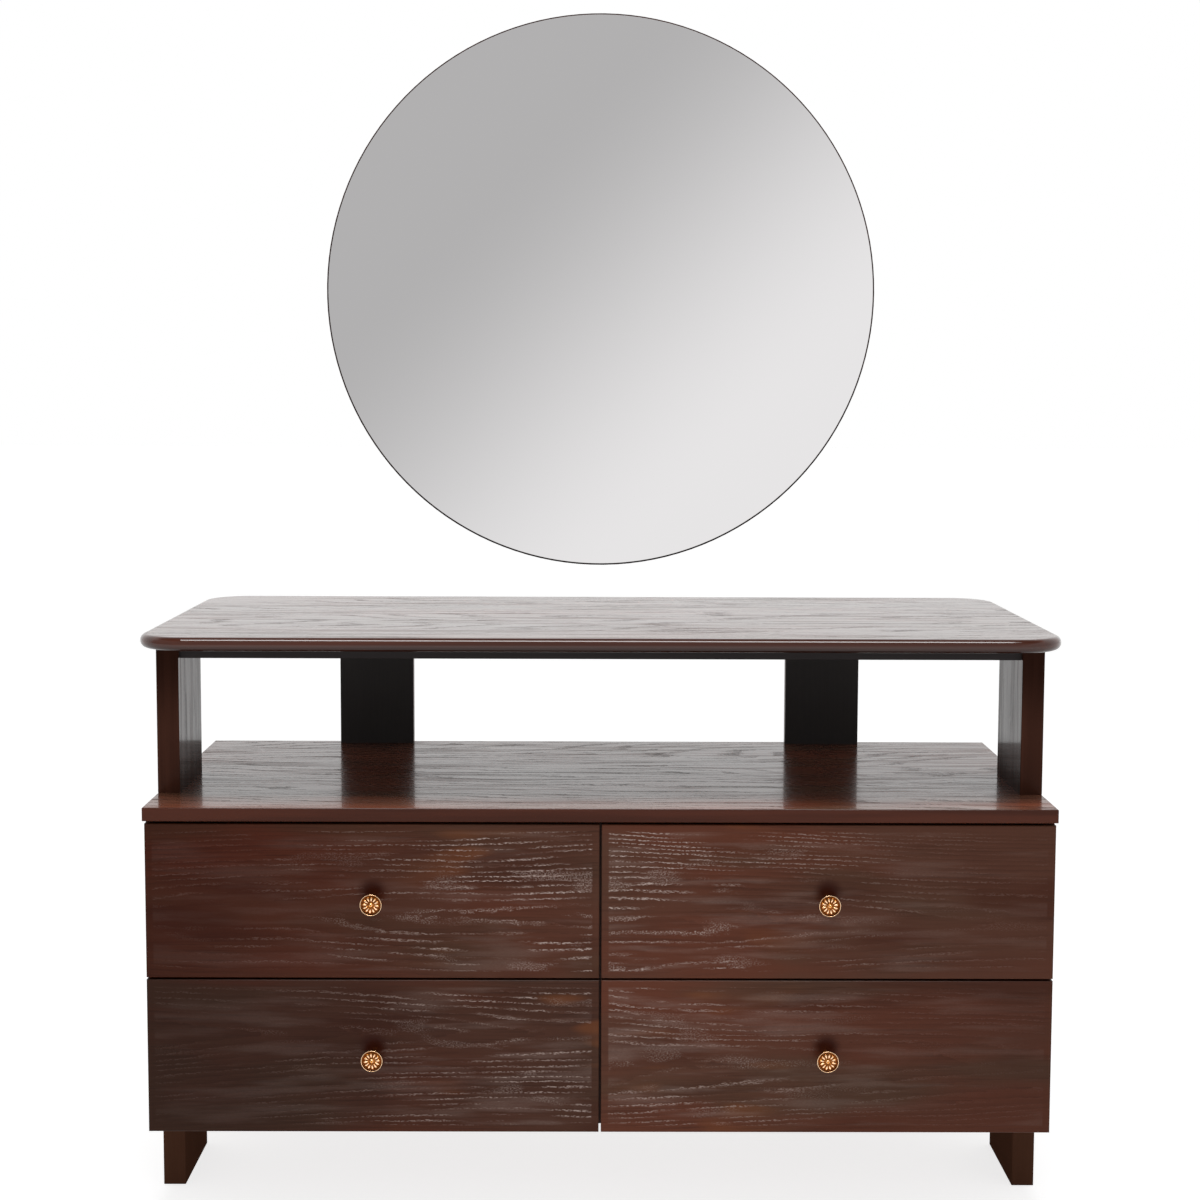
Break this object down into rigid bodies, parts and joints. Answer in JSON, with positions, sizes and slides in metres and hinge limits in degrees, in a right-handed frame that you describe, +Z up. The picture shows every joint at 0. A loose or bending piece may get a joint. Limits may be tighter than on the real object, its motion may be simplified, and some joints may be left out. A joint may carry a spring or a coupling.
{
  "type": "dresser",
  "caption": "Low dresser in dark stained veneer with overlay drawers under an open shelf and bullnosed top, with rosette knobs and a matching round wall mirror.",
  "frame": {"origin": "on the floor, under the middle of the chest's width and depth", "axes": "+X to the right seen from the front, +Y to the back (drawers open towards -Y), +Z up"},
  "size_m": [1.214, 0.54, 1.664],
  "materials": {
    "antique_brass": "darkened brass with rubbed edges",
    "dark_veneer": "satin lacquered dark stained oak veneer",
    "drawer_wood": "clear lacquered birch",
    "fastener_steel": "zinc plated",
    "hardboard": "smooth hardboard",
    "mirror_glass": "silvered float glass",
    "zinc_plated_steel": "zinc plated"
  },
  "bodies": {
    "carcass": {"top_board": "dark_veneer", "top_rail_front": "dark_veneer", "side_support_left": "dark_veneer", "side_support_right": "dark_veneer", "back_post_left": "dark_veneer", "back_post_right": "dark_veneer", "shelf_board": "dark_veneer", "side_panel_left": "dark_veneer", "side_panel_right": "dark_veneer", "centre_divider": "dark_veneer", "bottom_panel": "dark_veneer", "back_panel": "hardboard", "foot_front_left": "dark_veneer", "foot_front_right": "dark_veneer", "foot_rear_left": "dark_veneer", "foot_rear_right": "dark_veneer", "runner_outer": "zinc_plated_steel", "mirror_board": "dark_veneer", "mirror_glass": "mirror_glass", "mirror_hangers": "zinc_plated_steel"},
    "upper_left_drawer": {"upper_left_face": "dark_veneer", "upper_left_side_left": "drawer_wood", "upper_left_side_right": "drawer_wood", "upper_left_back": "drawer_wood", "upper_left_bottom": "hardboard", "upper_left_knob": "antique_brass", "upper_left_knob_screw": "fastener_steel", "upper_left_runner_inner": "zinc_plated_steel"},
    "upper_left_slides": {"upper_left_runner_middle": "zinc_plated_steel"},
    "upper_right_drawer": {"upper_right_face": "dark_veneer", "upper_right_side_left": "drawer_wood", "upper_right_side_right": "drawer_wood", "upper_right_back": "drawer_wood", "upper_right_bottom": "hardboard", "upper_right_knob": "antique_brass", "upper_right_knob_screw": "fastener_steel", "upper_right_runner_inner": "zinc_plated_steel"},
    "upper_right_slides": {"upper_right_runner_middle": "zinc_plated_steel"},
    "lower_left_drawer": {"lower_left_face": "dark_veneer", "lower_left_side_left": "drawer_wood", "lower_left_side_right": "drawer_wood", "lower_left_back": "drawer_wood", "lower_left_bottom": "hardboard", "lower_left_knob": "antique_brass", "lower_left_knob_screw": "fastener_steel", "lower_left_runner_inner": "zinc_plated_steel"},
    "lower_left_slides": {"lower_left_runner_middle": "zinc_plated_steel"},
    "lower_right_drawer": {"lower_right_face": "dark_veneer", "lower_right_side_left": "drawer_wood", "lower_right_side_right": "drawer_wood", "lower_right_back": "drawer_wood", "lower_right_bottom": "hardboard", "lower_right_knob": "antique_brass", "lower_right_knob_screw": "fastener_steel", "lower_right_runner_inner": "zinc_plated_steel"},
    "lower_right_slides": {"lower_right_runner_middle": "zinc_plated_steel"}
  },
  "joints": [
    {"name": "upper_left_drawer_slide", "type": "slide", "parent": "carcass", "child": "upper_left_drawer", "axis": [0, -1, 0], "range_m": [0, 0.4]},
    {"name": "upper_left_runner_travel", "type": "slide", "parent": "carcass", "child": "upper_left_slides", "axis": [0, -1, 0], "range_m": [0, 0.2]},
    {"name": "upper_right_drawer_slide", "type": "slide", "parent": "carcass", "child": "upper_right_drawer", "axis": [0, -1, 0], "range_m": [0, 0.4]},
    {"name": "upper_right_runner_travel", "type": "slide", "parent": "carcass", "child": "upper_right_slides", "axis": [0, -1, 0], "range_m": [0, 0.2]},
    {"name": "lower_left_drawer_slide", "type": "slide", "parent": "carcass", "child": "lower_left_drawer", "axis": [0, -1, 0], "range_m": [0, 0.4]},
    {"name": "lower_left_runner_travel", "type": "slide", "parent": "carcass", "child": "lower_left_slides", "axis": [0, -1, 0], "range_m": [0, 0.2]},
    {"name": "lower_right_drawer_slide", "type": "slide", "parent": "carcass", "child": "lower_right_drawer", "axis": [0, -1, 0], "range_m": [0, 0.4]},
    {"name": "lower_right_runner_travel", "type": "slide", "parent": "carcass", "child": "lower_right_slides", "axis": [0, -1, 0], "range_m": [0, 0.2]}
  ],
  "couplings": [
    {"joint": "upper_left_runner_travel", "follows": "upper_left_drawer_slide", "ratio": 0.5},
    {"joint": "upper_right_runner_travel", "follows": "upper_right_drawer_slide", "ratio": 0.5},
    {"joint": "lower_left_runner_travel", "follows": "lower_left_drawer_slide", "ratio": 0.5},
    {"joint": "lower_right_runner_travel", "follows": "lower_right_drawer_slide", "ratio": 0.5}
  ]
}
